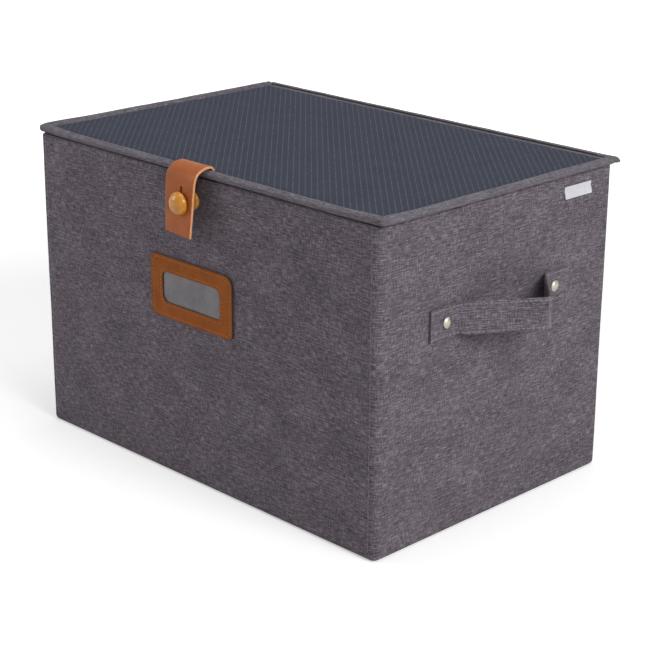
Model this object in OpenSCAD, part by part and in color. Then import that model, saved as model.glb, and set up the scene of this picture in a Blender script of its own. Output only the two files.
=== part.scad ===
// Folding fabric file box with a hinged lid, a buttoned leather strap,
// a leather label window on the front and a riveted handle on each end.
// X runs along the long front, -Y faces the front and +Z is up.
// The origin is the middle of the underside. All sizes are in millimetres.

/* [Body] */
// Outside length of the body along the front
body_w = 400; // [320:5:480]
// Outside depth of the body from front to back
body_d = 271; // [240:1:340]
// Height of the body without the lid
body_h = 262; // [200:1:320]
// Outside radius of the upright corners
corner_r = 6; // [5:0.5:10]
// Outside radius of the turned-up bottom edges
bottom_r = 4; // [2.5:0.5:5]
// Thickness of the outer cloth
cover_t = 1.2; // [0.8:0.1:1.6]
// Thickness of the stiffening boards in the walls
board_t = 2.4; // [1.8:0.2:3.6]
// Thickness of the lining cloth
lining_t = 0.8; // [0.5:0.1:1.2]
// Gap between the two half boards of an end, where the end folds inwards
fold_gap = 2.4; // [1.6:0.2:5]
// Depth of the pressed fold line in the middle of each end
fold_line_depth = 0.5; // [0.2:0.1:0.7]
// Width of the pressed fold line
fold_line_w = 1.6; // [0.8:0.2:2.4]

/* [Base board] */
// Thickness of the loose board on the floor of the box
base_board_t = 2.4; // [1.6:0.2:4]
// Thickness of the cloth around the loose board
base_cloth_t = 0.8; // [0.5:0.1:1.2]
// Play of the loose board between the walls, on each side
base_clear = 1; // [0.5:0.5:3]
// Width of the cloth that is turned in under the loose board
base_turn_in = 25; // [15:1:40]

/* [Lid] */
// Overhang of the lid past the ends
lid_over = 3.4; // [2:0.2:6]
// Overhang of the lid past the front
lid_over_front = 1; // [0.5:0.5:4]
// Running gap between the rim of the body and the lid
lid_gap = 0.3; // [0.3:0.1:1]
// Thickness of the lid at its bound edge
lid_edge_t = 5.2; // [4.4:0.2:7]
// Width of the bound border around the lid panel
border_w = 8.5; // [8:0.5:14]
// Width of the border's narrow run in front of the hinge's crease
back_border_w = 4.5; // [3:0.5:8]
// Radius of the border's outer edges
border_r = 2.4; // [1.2:0.2:2.4]
// Fall of the border's top towards the panel
border_fall = 0.5; // [0:0.1:0.5]
// Depth of the padded edge outside the lid board
border_pad = 4; // [3:0.5:6]
// Thickness of the board in the lid
lid_board_t = 2.4; // [1.8:0.2:2.8]
// Thickness of the striped cloth and of the lid's lining
lid_cloth_t = 0.8; // [0.5:0.1:1]

/* [Lid hinge] */
// Width of the cloth hinge on top of the back wall, up to its crease
hinge_w = 7; // [6.5:0.5:12]
// Width of the sewn crease between the hinge and the lid
crease_gap = 0.8; // [0.4:0.1:1.2]
// Thickness of the folded hinge cloth
hinge_t = 1; // [0.8:0.1:1.2]
// Height of the hinge's flap on the outside of the back wall
flap_h = 18; // [10:1:30]
// Radius of the hinge cloth over the back edge
hinge_bend_r = 2.4; // [1.6:0.2:3]

/* [Strap and knob] */
// Width of the leather strap
strap_w = 34; // [26:1:44]
// Thickness of the leather strap
strap_t = 2; // [1.6:0.1:2.6]
// Distance of the strap's end below the body's top edge
strap_drop = 44; // [36:1:60]
// Distance of the strap's middle layer from the front wall at the knob
strap_stand_off = 14.2; // [12:0.1:16]
// Further distance from the wall at the strap's end
strap_flare = 2; // [0:0.5:6]
// Height of the strap's crest above the lid
strap_crest = 3.5; // [3:0.1:6]
// Distance of the knob's axis to the right of the strap's middle
knob_x = 2.5; // [0:0.5:6]
// Distance of the knob's axis below the body's top edge
knob_drop = 18.5; // [15:0.5:22]
// Diameter of the knob's head
knob_head_d = 18.6; // [14:0.2:22]
// Depth of the head's rounded front
head_front_depth = 6.8; // [5:0.1:10]
// Depth of the head's rounded back
head_back_depth = 1.5; // [1:0.1:4]
// Diameter of the bead that stands on the wall
knob_base_d = 15; // [12:0.5:20]
// Depth of the bead that stands on the wall
knob_base_depth = 7; // [5:0.2:8]
// Diameter of the turned neck between bead and head
knob_neck_d = 6.6; // [5.4:0.2:8]
// Play of the strap's hole around the neck, on each side
hole_clear = 0.8; // [0.4:0.1:1.5]
// Length of the slit above the hole
slit_length = 9; // [6:0.5:12]
// Width of the slit above the hole
slit_w = 1.4; // [0.8:0.2:2]

/* [Knob screw] */
// Diameter of the screw that holds the knob from inside
screw_d = 3.8; // [3:0.1:4.2]
// Depth of the screw in the knob
screw_bite = 11; // [8:0.5:13]
// Diameter of the screw's head
screw_head_d = 8; // [7:0.5:10]
// Height of the screw's head
screw_head_h = 2.2; // [1.6:0.1:3]
// Diameter of the washer behind the front wall
washer_d = 18; // [14:0.5:24]
// Thickness of the washer
washer_t = 1; // [0.8:0.1:2]

/* [Label window] */
// Width of the leather label frame
label_w = 98; // [80:1:120]
// Height of the leather label frame
label_h = 52; // [40:1:60]
// Thickness of the leather label frame
label_t = 1.8; // [1.4:0.1:2.6]
// Radius of the frame's corners
label_r = 8; // [4:0.5:12]
// Distance of the frame's middle to the right of the front's middle
label_x = -4; // [-10:0.5:10]
// Distance of the frame's top edge below the body's top edge
label_drop = 72.5; // [62:0.5:90]
// Width of the window
window_w = 69.5; // [50:0.5:70]
// Height of the window
window_h = 25.5; // [18:0.5:30]
// Radius of the window's corners
window_r = 5.5; // [2:0.5:8]
// Overlap of the clear film behind the frame, on each side
film_lap = 6; // [3:0.5:7]
// Thickness of the clear film
film_t = 0.4; // [0.2:0.1:0.8]

/* [End handles] */
// Width of the handle strap
handle_w = 25.5; // [20:0.5:32]
// Thickness of the folded handle strap
handle_t = 2.6; // [2:0.2:4]
// Distance of the handle's top edge below the body's top edge
handle_drop = 74; // [50:0.5:110]
// Distance from the middle of the end to the front rivet
front_rivet_y = 63.5; // [50:0.5:70]
// Distance from the middle of the end to the back rivet
back_rivet_y = 63.5; // [50:0.5:80]
// Length of each strap end past its rivet
tab_length = 17.5; // [10:0.5:20]
// Distance from the front rivet to the place where the strap leaves the wall
lift_off = 18; // [12:0.5:22]
// Distance from the back rivet to the place where the strap meets the wall again
touch_down = 10; // [9.5:0.5:18]
// Reach of the handle's bend out from the wall, before the bend is rounded
handle_reach = 42.5; // [28:0.5:50]
// Distance of the handle's bend behind the middle of the end
handle_bend_y = 9.5; // [5:0.5:30]
// Length of strap on each side of the front crease that bends there
crease_bend = 5; // [3:0.5:6]
// Length of strap on each side of the outer bend that bends there
outer_bend = 9; // [6:0.5:12]
// Length of strap on each side of the back crease that bends there
landing_bend = 4; // [3:0.5:4]

/* [Rivets] */
// Diameter of the rivets' domed heads
rivet_head_d = 10; // [8:0.5:12]
// Height of the rivets' domed heads
rivet_head_h = 2.2; // [1.4:0.1:3]
// Diameter of the rivets' shanks
rivet_d = 3.2; // [2.4:0.2:4]
// Thickness of the rings inside the ends
burr_t = 1.2; // [0.8:0.1:2]

/* [Side tag] */
// Length of the blank woven tag
tag_w = 33; // [20:1:40]
// Height of the blank woven tag
tag_h = 9.5; // [7:0.5:14]
// Thickness of the folded tag
tag_t = 0.7; // [0.5:0.1:1.2]
// Distance of the tag's back edge from the body's back
tag_back = 29; // [16:1:60]
// Distance of the tag's top edge below the body's top edge
tag_drop = 9; // [5:0.5:15]

/* [Hidden] */

// Play around a shank or in a sewn joint
small_play = 0.3;
// Play of the knob's screw in its bore, on each side
thread_play = 0.05;
// Extra length of a cutting tool past the face that it cuts
cut = 1;
// Play of the film and of the linings against the cloth behind them
cloth_play = 0.1;
// Length of the rivets' shanks past their rings
rivet_tail = 0.5;
// Angle on the knob's bead at which its foot is cut flat
bead_foot_angle = 60;
// Reach of the walls' zones past the wall's layers
zone_margin = 10;
// Depth of the zones that divide the walls at their mitred corners
zone_depth = corner_r + cover_t + board_t + lining_t + zone_margin;
// The wall's thickness and the body's outer faces
wall_t = cover_t + board_t + lining_t;
front_y = -body_d / 2;
back_y = body_d / 2;
side_x = body_w / 2;
// Distance of the walls' boards from the upright corners' outer faces
board_end = corner_r + 1;
// The lid's outline and its levels, from its underside
lid_w = body_w + 2 * lid_over;
lid_front_y = front_y - lid_over_front;
crease_y = back_y - hinge_w;
lid_back_y = crease_y - crease_gap / 2;
lid_z = body_h + lid_gap;
lid_board_z = (lid_edge_t - lid_board_t) / 2;
lid_panel_z = lid_board_z + lid_board_t;
// The hinge's axis runs along X in the middle of the hinge cloth, above the back wall
hinge_axis_y = back_y + hinge_t / 2;
hinge_axis_z = lid_z;
// The strap's seam on the lid, and its axis of swing
strap_seam_y = lid_front_y + border_w;
strap_seam_z = lid_z + lid_panel_z + lid_cloth_t;
knob_z = body_h - knob_drop;
head_out = strap_stand_off + strap_t / 2 + small_play + head_back_depth;
label_z = body_h - label_drop - label_h / 2;
film_seat = film_t + cloth_play;
handle_z = body_h - handle_drop - handle_w / 2;
// Steps of a circle, and degrees from one point of a curve to the next
$fn = 48;
curve_step = 12;

// ---- Curves and outlines ----

// Points of an ellipse's arc, from angle a0 to angle a1
function arc(cx, cy, rx, ry, a0, a1) =
  let (n = ceil(abs(a1 - a0) / curve_step))
  [for (i = [0:n]) let (a = a0 + (a1 - a0) * i / n) [cx + rx * cos(a), cy + ry * sin(a)]];

// A point on the smooth curve through four points, between the middle two
function spline_point(p, q, r, s, u) =
  0.5 * (2 * q + (r - p) * u + (2 * p - 5 * q + 4 * r - s) * u * u
    + (3 * q - p - 3 * r + s) * u * u * u);

// A smooth curve through all points of a route
function spline(route, steps) =
  let (last = len(route) - 1)
  [for (i = [0:last - 1], k = [0:steps - 1])
      spline_point(route[max(i - 1, 0)], route[i], route[i + 1], route[min(i + 2, last)], k / steps),
    route[last]];

// A corner at q of the path p-q-r, rounded by a curve that starts at cut_back from it
function round_corner(p, q, r, cut_back, steps) =
  let (a = q + cut_back * (p - q) / norm(p - q), b = q + cut_back * (r - q) / norm(r - q))
  [for (i = [0:steps]) let (u = i / steps) (1 - u) * (1 - u) * a + 2 * u * (1 - u) * q + u * u * b];

// The direction of a path at its point i
function heading(path, i) =
  let (d = path[min(i + 1, len(path) - 1)] - path[max(i - 1, 0)]) d / norm(d);

// One side of a path, at a distance to its left
function beside(path, distance) =
  [for (i = [0:len(path) - 1]) let (h = heading(path, i)) path[i] + distance * [-h[1], h[0]]];

function reversed(list) = [for (i = [len(list) - 1:-1:0]) list[i]];

// A strip of cloth or leather seen from its edge
module ribbon(path, thickness) {
  polygon(concat(beside(path, thickness / 2), reversed(beside(path, -thickness / 2))));
}

module rounded_rect(width, height, radius) {
  square([width - 2 * radius, height], center = true);
  square([width, height - 2 * radius], center = true);
  for (x = [-1, 1], y = [-1, 1])
    translate([x * (width / 2 - radius), y * (height / 2 - radius)]) circle(radius);
}

// Stands a drawing in the Y-Z plane and pulls it out along X
module along_x(length) {
  rotate([90, 0, 90]) linear_extrude(length, center = true) children();
}

// Turns a form that stands on Z so that it points out of the front wall
module from_front(x, z) {
  translate([x, front_y, z]) rotate([90, 0, 0]) children();
}

// Turns a form that stands on Z so that it points out of the right end
module from_right(y, z) {
  translate([side_x, y, z]) rotate([0, 90, 0]) children();
}

// ---- Walls ----

// The body's outline, drawn in from the outside by inset
module body_outline(inset) {
  rounded_rect(body_w - 2 * inset, body_d - 2 * inset, max(corner_r - inset, 0.6));
}

module front_zone() {
  polygon([
    [-side_x - cut, front_y - cut], [side_x + cut, front_y - cut],
    [side_x - zone_depth, front_y + zone_depth], [-side_x + zone_depth, front_y + zone_depth]
  ]);
}

module right_zone() {
  polygon([
    [side_x + cut, front_y - cut], [side_x + cut, back_y + cut],
    [side_x - zone_depth, back_y - zone_depth], [side_x - zone_depth, front_y + zone_depth]
  ]);
}

// One wall's cloth: it stands on the bottom's turned-up edge and is folded over the board
module wall_cover() {
  difference() {
    translate([0, 0, bottom_r]) linear_extrude(body_h - bottom_r) intersection() {
      children();
      difference() {
        body_outline(0);
        body_outline(wall_t);
      }
    }
    translate([0, 0, bottom_r - cut])
      linear_extrude(body_h - cover_t - bottom_r + cut) body_outline(cover_t);
  }
}

module wall_lining() {
  translate([0, 0, cover_t + cloth_play]) linear_extrude(body_h - 2 * cover_t - cloth_play) intersection() {
    children();
    difference() {
      body_outline(cover_t + board_t);
      body_outline(wall_t);
    }
  }
}

// The hole through the front wall for the knob's screw
module knob_hole() {
  from_front(knob_x, knob_z) translate([0, 0, -wall_t - cut])
    cylinder(h = wall_t + 2 * cut, d = screw_d + 2 * small_play);
}

// The holes through the right end for the handle's rivets
module rivet_holes() {
  for (y = [-front_rivet_y, back_rivet_y])
    from_right(y, handle_z) translate([0, 0, -wall_t - cut])
      cylinder(h = wall_t + handle_t + 2 * cut, d = rivet_d + 2 * small_play);
}

// The pressed line down the middle of the right end
module fold_line() {
  translate([side_x, 0, -cut]) linear_extrude(body_h + 2 * cut)
    polygon([[cut, -fold_line_w], [-fold_line_depth, 0], [cut, fold_line_w]]);
}

module end_cover() {
  difference() {
    wall_cover() right_zone();
    rivet_holes();
    fold_line();
  }
}

module end_lining() {
  difference() {
    wall_lining() right_zone();
    rivet_holes();
  }
}

module front_cover() {
  color("#645c62") difference() {
    wall_cover() front_zone();
    knob_hole();
  }
}

module back_cover() {
  color("#645c62") mirror([0, 1, 0]) wall_cover() front_zone();
}

module right_cover() {
  color("#6a6269") end_cover();
}

module left_cover() {
  color("#6a6269") mirror([1, 0, 0]) end_cover();
}

module front_lining() {
  color("#4a4a50") difference() {
    wall_lining() front_zone();
    knob_hole();
  }
}

module back_lining() {
  color("#4a4a50") mirror([0, 1, 0]) wall_lining() front_zone();
}

module right_lining() {
  color("#4a4a50") end_lining();
}

module left_lining() {
  color("#4a4a50") mirror([1, 0, 0]) end_lining();
}

// A long wall's board
module long_board() {
  translate([-side_x + board_end, front_y + cover_t, bottom_r])
    cube([body_w - 2 * board_end, board_t, body_h - cover_t - bottom_r]);
}

module front_board() {
  color("#9c8a70") difference() {
    long_board();
    knob_hole();
  }
}

module back_board() {
  color("#9c8a70") mirror([0, 1, 0]) long_board();
}

// The front or back half of the right end's board; the end folds between the two
module half_board(towards) {
  length = body_d / 2 - board_end - fold_gap / 2;
  middle = towards * (fold_gap / 2 + length / 2);
  color("#9c8a70") difference() {
    translate([side_x - cover_t - board_t, middle - length / 2, bottom_r])
      cube([board_t, length, body_h - cover_t - bottom_r]);
    rivet_holes();
  }
}

module right_board_front() {
  half_board(-1);
}

module right_board_back() {
  half_board(1);
}

module left_board_front() {
  mirror([1, 0, 0]) half_board(-1);
}

module left_board_back() {
  mirror([1, 0, 0]) half_board(1);
}

// ---- Bottom ----

// A flat floor between two quarter-round edges, seen from its end
module trough(width, radius, floor_z, top_z) {
  translate([-width / 2, floor_z + radius]) square([width, top_z - floor_z - radius]);
  translate([-width / 2 + radius, floor_z]) square([width - 2 * radius, top_z - floor_z]);
  for (side = [-1, 1])
    translate([side * (width / 2 - radius), floor_z + radius]) circle(radius);
}

// The body's foot, drawn in from the outside by inset
module foot_block(inset, top_z) {
  radius = bottom_r - inset;
  intersection() {
    translate([0, 0, inset]) linear_extrude(top_z - inset) body_outline(inset);
    along_x(body_w) trough(body_d - 2 * inset, radius, inset, top_z + cut);
    rotate([90, 0, 0]) linear_extrude(body_d, center = true)
      trough(body_w - 2 * inset, radius, inset, top_z + cut);
  }
}

module bottom_cover() {
  color("#5c5559") difference() {
    foot_block(0, bottom_r);
    foot_block(cover_t, bottom_r + cut);
  }
}

// ---- Loose base board ----

module base_block(inset, low_z, height) {
  gap = wall_t + base_clear + inset;
  translate([-side_x + gap, front_y + gap, low_z])
    cube([body_w - 2 * gap, body_d - 2 * gap, height]);
}

module base_board() {
  color("#9c8a70") base_block(base_cloth_t, cover_t + base_cloth_t, base_board_t);
}

module base_cloth() {
  color("#4a4a50") difference() {
    base_block(0, cover_t, base_board_t + 2 * base_cloth_t);
    base_block(base_cloth_t, cover_t + base_cloth_t, base_board_t);
    base_block(base_turn_in, cover_t - cut, base_cloth_t + cut + base_board_t / 2);
  }
}

// ---- Lid ----

// The bound edge, from its outer side inwards: a padded round nose and two legs on the board
module border_profile() {
  top_run = border_w - border_r;
  top = [for (i = [0:4]) let (u = i / 4)
      [border_r + u * top_run, lid_edge_t - border_fall * u * u]];
  difference() {
    polygon(concat(
      [[border_w, 0]],
      arc(border_r, border_r, border_r, border_r, 270, 180),
      arc(border_r, lid_edge_t - border_r, border_r, border_r, 180, 90),
      [for (i = [1:4]) top[i]]
    ));
    translate([border_pad, lid_board_z]) square([border_w, lid_board_t]);
  }
}

// The border's front run and its two end runs meet in mitres; the back run is a flat strip
module lid_border() {
  mitre = border_w + cut;
  run = lid_back_y - lid_front_y;
  strip_t = lid_edge_t - border_fall - lid_panel_z;
  color("#6a6269") {
    intersection() {
      translate([0, lid_front_y, lid_z]) along_x(lid_w) border_profile();
      translate([0, 0, lid_z - cut]) linear_extrude(lid_edge_t + 2 * cut) polygon([
        [-lid_w / 2, lid_front_y], [lid_w / 2, lid_front_y],
        [lid_w / 2 - mitre, lid_front_y + mitre], [-lid_w / 2 + mitre, lid_front_y + mitre]
      ]);
    }
    for (side = [0, 1]) mirror([side, 0, 0]) intersection() {
      translate([lid_w / 2, lid_back_y, lid_z])
        mirror([1, 0, 0]) rotate([90, 0, 0]) linear_extrude(run) border_profile();
      translate([0, 0, lid_z - cut]) linear_extrude(lid_edge_t + 2 * cut) polygon([
        [lid_w / 2, lid_front_y], [lid_w / 2, lid_back_y],
        [lid_w / 2 - mitre, lid_back_y], [lid_w / 2 - mitre, lid_front_y + mitre]
      ]);
    }
    translate([-lid_w / 2 + border_w - cut, lid_back_y - back_border_w, lid_z + lid_panel_z])
      cube([lid_w - 2 * (border_w - cut), back_border_w, strip_t]);
  }
}

// A flat layer of the lid, drawn in by inset at the front and the ends, and by back_inset at the back
module lid_layer(inset, back_inset, low_z, height) {
  translate([-lid_w / 2 + inset, lid_front_y + inset, lid_z + low_z])
    cube([lid_w - 2 * inset, lid_back_y - lid_front_y - inset - back_inset, height]);
}

module lid_board() {
  color("#9c8a70") lid_layer(border_pad, 0, lid_board_z, lid_board_t);
}

module lid_panel() {
  color("#3f4450") lid_layer(border_w, back_border_w, lid_panel_z, lid_cloth_t);
}

module lid_lining() {
  color("#4a4a50") lid_layer(border_w, 0, lid_board_z - lid_cloth_t, lid_cloth_t);
}

// The cloth hinge: from the crease over the back edge and down the outside of the wall
module hinge_cloth() {
  top_z = lid_z + lid_edge_t - hinge_t / 2;
  path = concat(
    [[crease_y + crease_gap / 2, top_z]],
    arc(hinge_axis_y - hinge_bend_r, top_z - hinge_bend_r, hinge_bend_r, hinge_bend_r, 90, 0),
    [[hinge_axis_y, body_h - flap_h]]
  );
  color("#645c62") intersection() {
    along_x(lid_w) ribbon(path, hinge_t);
    union() {
      translate([-lid_w / 2, crease_y, lid_z])
        cube([lid_w, hinge_w + hinge_t + cut, lid_edge_t + cut]);
      translate([-side_x + board_end, crease_y, body_h - flap_h - cut])
        cube([body_w - 2 * board_end, hinge_w + hinge_t + cut, flap_h + lid_edge_t + cut]);
    }
  }
}

// ---- Strap and knob ----

// The strap's middle layer, as distances in front of the wall and above the body's top edge:
// it rises out of the lid's seam, arches over the rim and hangs away from the wall
lid_top = lid_gap + lid_edge_t;
strap_route = [
  [lid_over_front - border_w + 0.5, lid_top + 0.5],
  [lid_over_front - border_w + 1.7, lid_top + 0.65 * strap_crest],
  [lid_over_front - border_w / 2 + 0.2, lid_top + strap_crest],
  [lid_over_front + 1.8, lid_top + 0.85 * strap_crest],
  [strap_stand_off - 4.6, lid_top - 0.4],
  [strap_stand_off - 1.8, -0.8],
  [strap_stand_off - 0.7, -knob_drop / 2],
  [strap_stand_off, -knob_drop],
  [strap_stand_off + strap_flare, -strap_drop]
];

module closure_strap() {
  hole_d = knob_neck_d + 2 * hole_clear;
  path = [for (p = spline(strap_route, 5)) [front_y - p[0], body_h + p[1]]];
  color("#b06a3c") difference() {
    along_x(strap_w) ribbon(path, strap_t);
    from_front(knob_x, knob_z) cylinder(h = 2 * strap_stand_off, d = hole_d);
    translate([knob_x - slit_w / 2, front_y - 2 * strap_stand_off, knob_z])
      cube([slit_w, 2 * strap_stand_off, hole_d / 2 + slit_length]);
  }
}

// A turned knob: a bead on the wall, a neck through the strap and a flattened ball in front
module knob() {
  base_r = knob_base_d / 2;
  half_base = knob_base_depth / 2;
  neck_r = knob_neck_d / 2;
  head_r = knob_head_d / 2;
  neck_in_base = acos(neck_r / base_r);
  neck_in_head = acos(neck_r / head_r);
  color("#c4812e") difference() {
    from_front(knob_x, knob_z) rotate_extrude() polygon(concat(
      [[0, 0], [base_r * cos(bead_foot_angle), 0]],
      arc(0, half_base, base_r, half_base, curve_step - bead_foot_angle, neck_in_base),
      arc(0, head_out, head_r, head_back_depth, -neck_in_head, 0),
      arc(0, head_out, head_r, head_front_depth, curve_step, 90)
    ));
    from_front(knob_x, knob_z) translate([0, 0, -cut])
      cylinder(h = screw_bite + 2 * cut, d = screw_d + 2 * thread_play);
  }
}

module knob_washer() {
  color("silver") difference() {
    from_front(knob_x, knob_z) translate([0, 0, -wall_t - washer_t])
      cylinder(h = washer_t, d = washer_d);
    from_front(knob_x, knob_z) translate([0, 0, -wall_t - washer_t - cut])
      cylinder(h = washer_t + 2 * cut, d = screw_d + 2 * small_play);
  }
}

// A pan-head screw that passes the washer and the wall and ends in the knob
module knob_screw() {
  seat = -wall_t - washer_t;
  color("silver") from_front(knob_x, knob_z) rotate_extrude() polygon(concat(
    [[0, screw_bite], [screw_d / 2, screw_bite], [screw_d / 2, seat], [screw_head_d / 2, seat]],
    arc(0, seat - screw_head_h / 2, screw_head_d / 2, screw_head_h / 2, 0, -90)
  ));
}

// ---- Label window ----

module label_frame() {
  color("#8c4f22") difference() {
    from_front(label_x, label_z) linear_extrude(label_t) difference() {
      rounded_rect(label_w, label_h, label_r);
      rounded_rect(window_w, window_h, window_r);
    }
    from_front(label_x, label_z) translate([0, 0, -cut]) linear_extrude(film_seat + cut)
      square([window_w + 2 * film_lap, window_h + 2 * film_lap], center = true);
  }
}

module label_film() {
  color("#d0d4d8", 0.4) from_front(label_x, label_z) translate([0, 0, film_seat - film_t])
    linear_extrude(film_t) square([
      window_w + 2 * (film_lap - small_play), window_h + 2 * (film_lap - small_play)
    ], center = true);
}

// ---- Handles ----

// The right handle's middle layer, as places along Y and distances out from the end
module end_handle() {
  on_wall = handle_t / 2;
  front_end = [-front_rivet_y - tab_length, on_wall];
  leave = [-front_rivet_y + lift_off, on_wall];
  bend = [handle_bend_y, handle_reach];
  land = [back_rivet_y - touch_down, on_wall];
  back_end = [back_rivet_y + tab_length, on_wall];
  path = concat(
    [front_end],
    round_corner(front_end, leave, bend, crease_bend, 5),
    round_corner(leave, bend, land, outer_bend, 8),
    round_corner(bend, land, back_end, landing_bend, 5),
    [back_end]
  );
  color("#6a6269") difference() {
    translate([side_x, 0, handle_z - handle_w / 2]) linear_extrude(handle_w)
      mirror([1, -1]) ribbon(path, handle_t);
    rivet_holes();
  }
}

module right_handle() {
  end_handle();
}

module left_handle() {
  mirror([1, 0, 0]) end_handle();
}

module both_ends() {
  for (side = [0, 1]) mirror([side, 0, 0])
    for (y = [-front_rivet_y, back_rivet_y]) from_right(y, handle_z) children();
}

// Domed rivets through the handles and the ends
module handle_rivets() {
  inner_end = -wall_t - burr_t - rivet_tail;
  color("#cfcabd") both_ends() rotate_extrude() polygon(concat(
    [[0, inner_end], [rivet_d / 2, inner_end], [rivet_d / 2, handle_t]],
    arc(0, handle_t, rivet_head_d / 2, rivet_head_h, 0, 90)
  ));
}

// The rings inside the ends that the rivets are closed on
module rivet_rings() {
  color("#cfcabd") both_ends() translate([0, 0, -wall_t - burr_t])
    linear_extrude(burr_t) difference() {
      circle(d = rivet_head_d);
      circle(d = rivet_d + 2 * thread_play);
    }
}

// ---- Tag ----

// A blank woven tag, sewn flat on the right end
module side_tag() {
  color("#e6e4e8") translate([side_x, back_y - tag_back - tag_w, body_h - tag_drop - tag_h])
    cube([tag_t, tag_w, tag_h]);
}

front_cover();
back_cover();
right_cover();
left_cover();
bottom_cover();
front_board();
back_board();
right_board_front();
right_board_back();
left_board_front();
left_board_back();
front_lining();
back_lining();
right_lining();
left_lining();
base_board();
base_cloth();
lid_board();
lid_border();
lid_panel();
lid_lining();
hinge_cloth();
closure_strap();
knob();
knob_screw();
knob_washer();
label_frame();
label_film();
right_handle();
left_handle();
handle_rivets();
rivet_rings();
side_tag();
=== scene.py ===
# The finish of the fabric file box: cloth, leather, thread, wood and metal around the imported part.
# Lengths are in metres, and MM turns a size in millimetres into metres.
import math

import bpy
import numpy as np
from mathutils import Matrix, Vector, noise


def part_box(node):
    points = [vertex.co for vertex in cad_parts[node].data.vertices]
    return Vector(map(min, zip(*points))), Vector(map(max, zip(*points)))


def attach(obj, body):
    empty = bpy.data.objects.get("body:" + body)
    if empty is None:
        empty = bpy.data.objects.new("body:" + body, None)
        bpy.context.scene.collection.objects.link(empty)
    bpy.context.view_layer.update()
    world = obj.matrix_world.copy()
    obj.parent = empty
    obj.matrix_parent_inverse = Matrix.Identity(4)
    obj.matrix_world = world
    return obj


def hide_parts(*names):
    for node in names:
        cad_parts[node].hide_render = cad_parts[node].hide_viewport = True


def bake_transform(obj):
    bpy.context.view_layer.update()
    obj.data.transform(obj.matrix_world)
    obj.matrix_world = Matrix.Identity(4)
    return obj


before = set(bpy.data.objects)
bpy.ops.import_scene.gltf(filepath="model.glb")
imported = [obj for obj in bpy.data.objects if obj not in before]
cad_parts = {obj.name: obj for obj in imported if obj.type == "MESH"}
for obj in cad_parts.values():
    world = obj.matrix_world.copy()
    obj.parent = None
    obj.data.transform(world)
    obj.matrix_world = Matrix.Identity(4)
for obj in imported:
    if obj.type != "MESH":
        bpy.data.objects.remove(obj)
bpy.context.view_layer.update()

MM = 0.001

# ---- Places, read from the frame ----

side_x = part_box("right_cover")[1].x
front_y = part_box("front_cover")[0].y
back_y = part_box("back_cover")[1].y
top_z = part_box("front_cover")[1].z
foot_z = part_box("bottom_cover")[0].z
foot_seam_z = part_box("front_cover")[0].z
lid_low, lid_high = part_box("lid_border")
panel_low, panel_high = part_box("lid_panel")
hinge_low, hinge_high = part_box("hinge_cloth")
strap_low, strap_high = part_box("closure_strap")
knob_low, knob_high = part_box("knob")
label_low, label_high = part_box("label_frame")
film_low, film_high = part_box("label_film")
handle_low, handle_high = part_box("right_handle")
rivets_low, rivets_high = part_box("handle_rivets")

# ---- Sizes of the finish ----

CORNER_R = 6 * MM
FOOT_R = foot_seam_z - foot_z
WALL_T = 4.4 * MM
CLOTH_T = 1.0 * MM
LINING_T = 0.7 * MM
GRID_STEP = 4 * MM

SEAM_IN = 7 * MM            # the corner seam's distance from the ends of the front and back
SEAM_DEPTH = 0.35 * MM
SEAM_REACH = 0.9 * MM
FOLD_DEPTH = 0.55 * MM      # the pressed line down the middle of each end
FOLD_REACH = 1.3 * MM

BORDER_W = panel_low.x - lid_low.x
BORDER_NOSE_R = 2.4 * MM
BORDER_PUFF = 1.1 * MM       # the padded border's crest above its edge
MITRE_DEPTH = 0.5 * MM
MITRE_REACH = 1.1 * MM
CORNER_LIFT = 1.6 * MM
CORNER_LIFT_REACH = 26 * MM
CORNER_ROUND = 4 * MM        # the border's front corners seen from above
LEFT_PUFF = 1.1 * MM         # the left border stands up more than the others
HINGE_PUFF = 0.5 * MM        # the hinge's fold stands up behind the crease
PANEL_PUFF = 0.35 * MM
CREASE_DEPTH = 2.6 * MM
LID_ASKEW = 1.4 * MM         # the soft lid sits this far to the right
LEFT_IN = 1.0 * MM           # and its left end is drawn in by this much more
TIP_OUT = 1.0 * MM           # its right back corner is drawn out to a tip
TIP_REACH = 13 * MM

STRAP_T = 2.0 * MM
STRAP_EDGE_R = 0.45 * MM
HANDLE_T = 2.6 * MM
LABEL_T = label_high.y - label_low.y
THREAD_R = 0.32 * MM

WEAVE = "weave"             # each point's place in its cloth, along the weft and along the warp


# ---- Meshes ----

def unit(vectors):
    return vectors / np.maximum(np.linalg.norm(vectors, axis=-1, keepdims=True), 1e-12)


def lengths(points):
    """Distances along a row of points, from its first one."""
    steps = np.linalg.norm(np.diff(points, axis=0), axis=1)
    return np.concatenate([[0.0], np.cumsum(steps)])


def at_places(places, along, values):
    """A row's values at the given distances along it."""
    return np.stack([np.interp(places, along, column) for column in values.T], -1)


def spaced(start, stop, step=GRID_STEP, fine=()):
    """Even places from start to stop, with closer ones at the given distances from both ends."""
    towards = math.copysign(1, stop - start)
    near = [start + towards * f for f in fine] + [stop - towards * f for f in fine]
    even = np.linspace(start, stop, max(2, math.ceil(abs(stop - start) / step) + 1))
    inside = [
        e for e in even if all(abs(e - n) > 0.3 * step for n in near)
        and min(abs(e - start), abs(e - stop)) > max(fine, default=0)
    ]
    return np.array(sorted({start, stop, *near, *inside}, reverse=bool(stop < start)))


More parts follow.
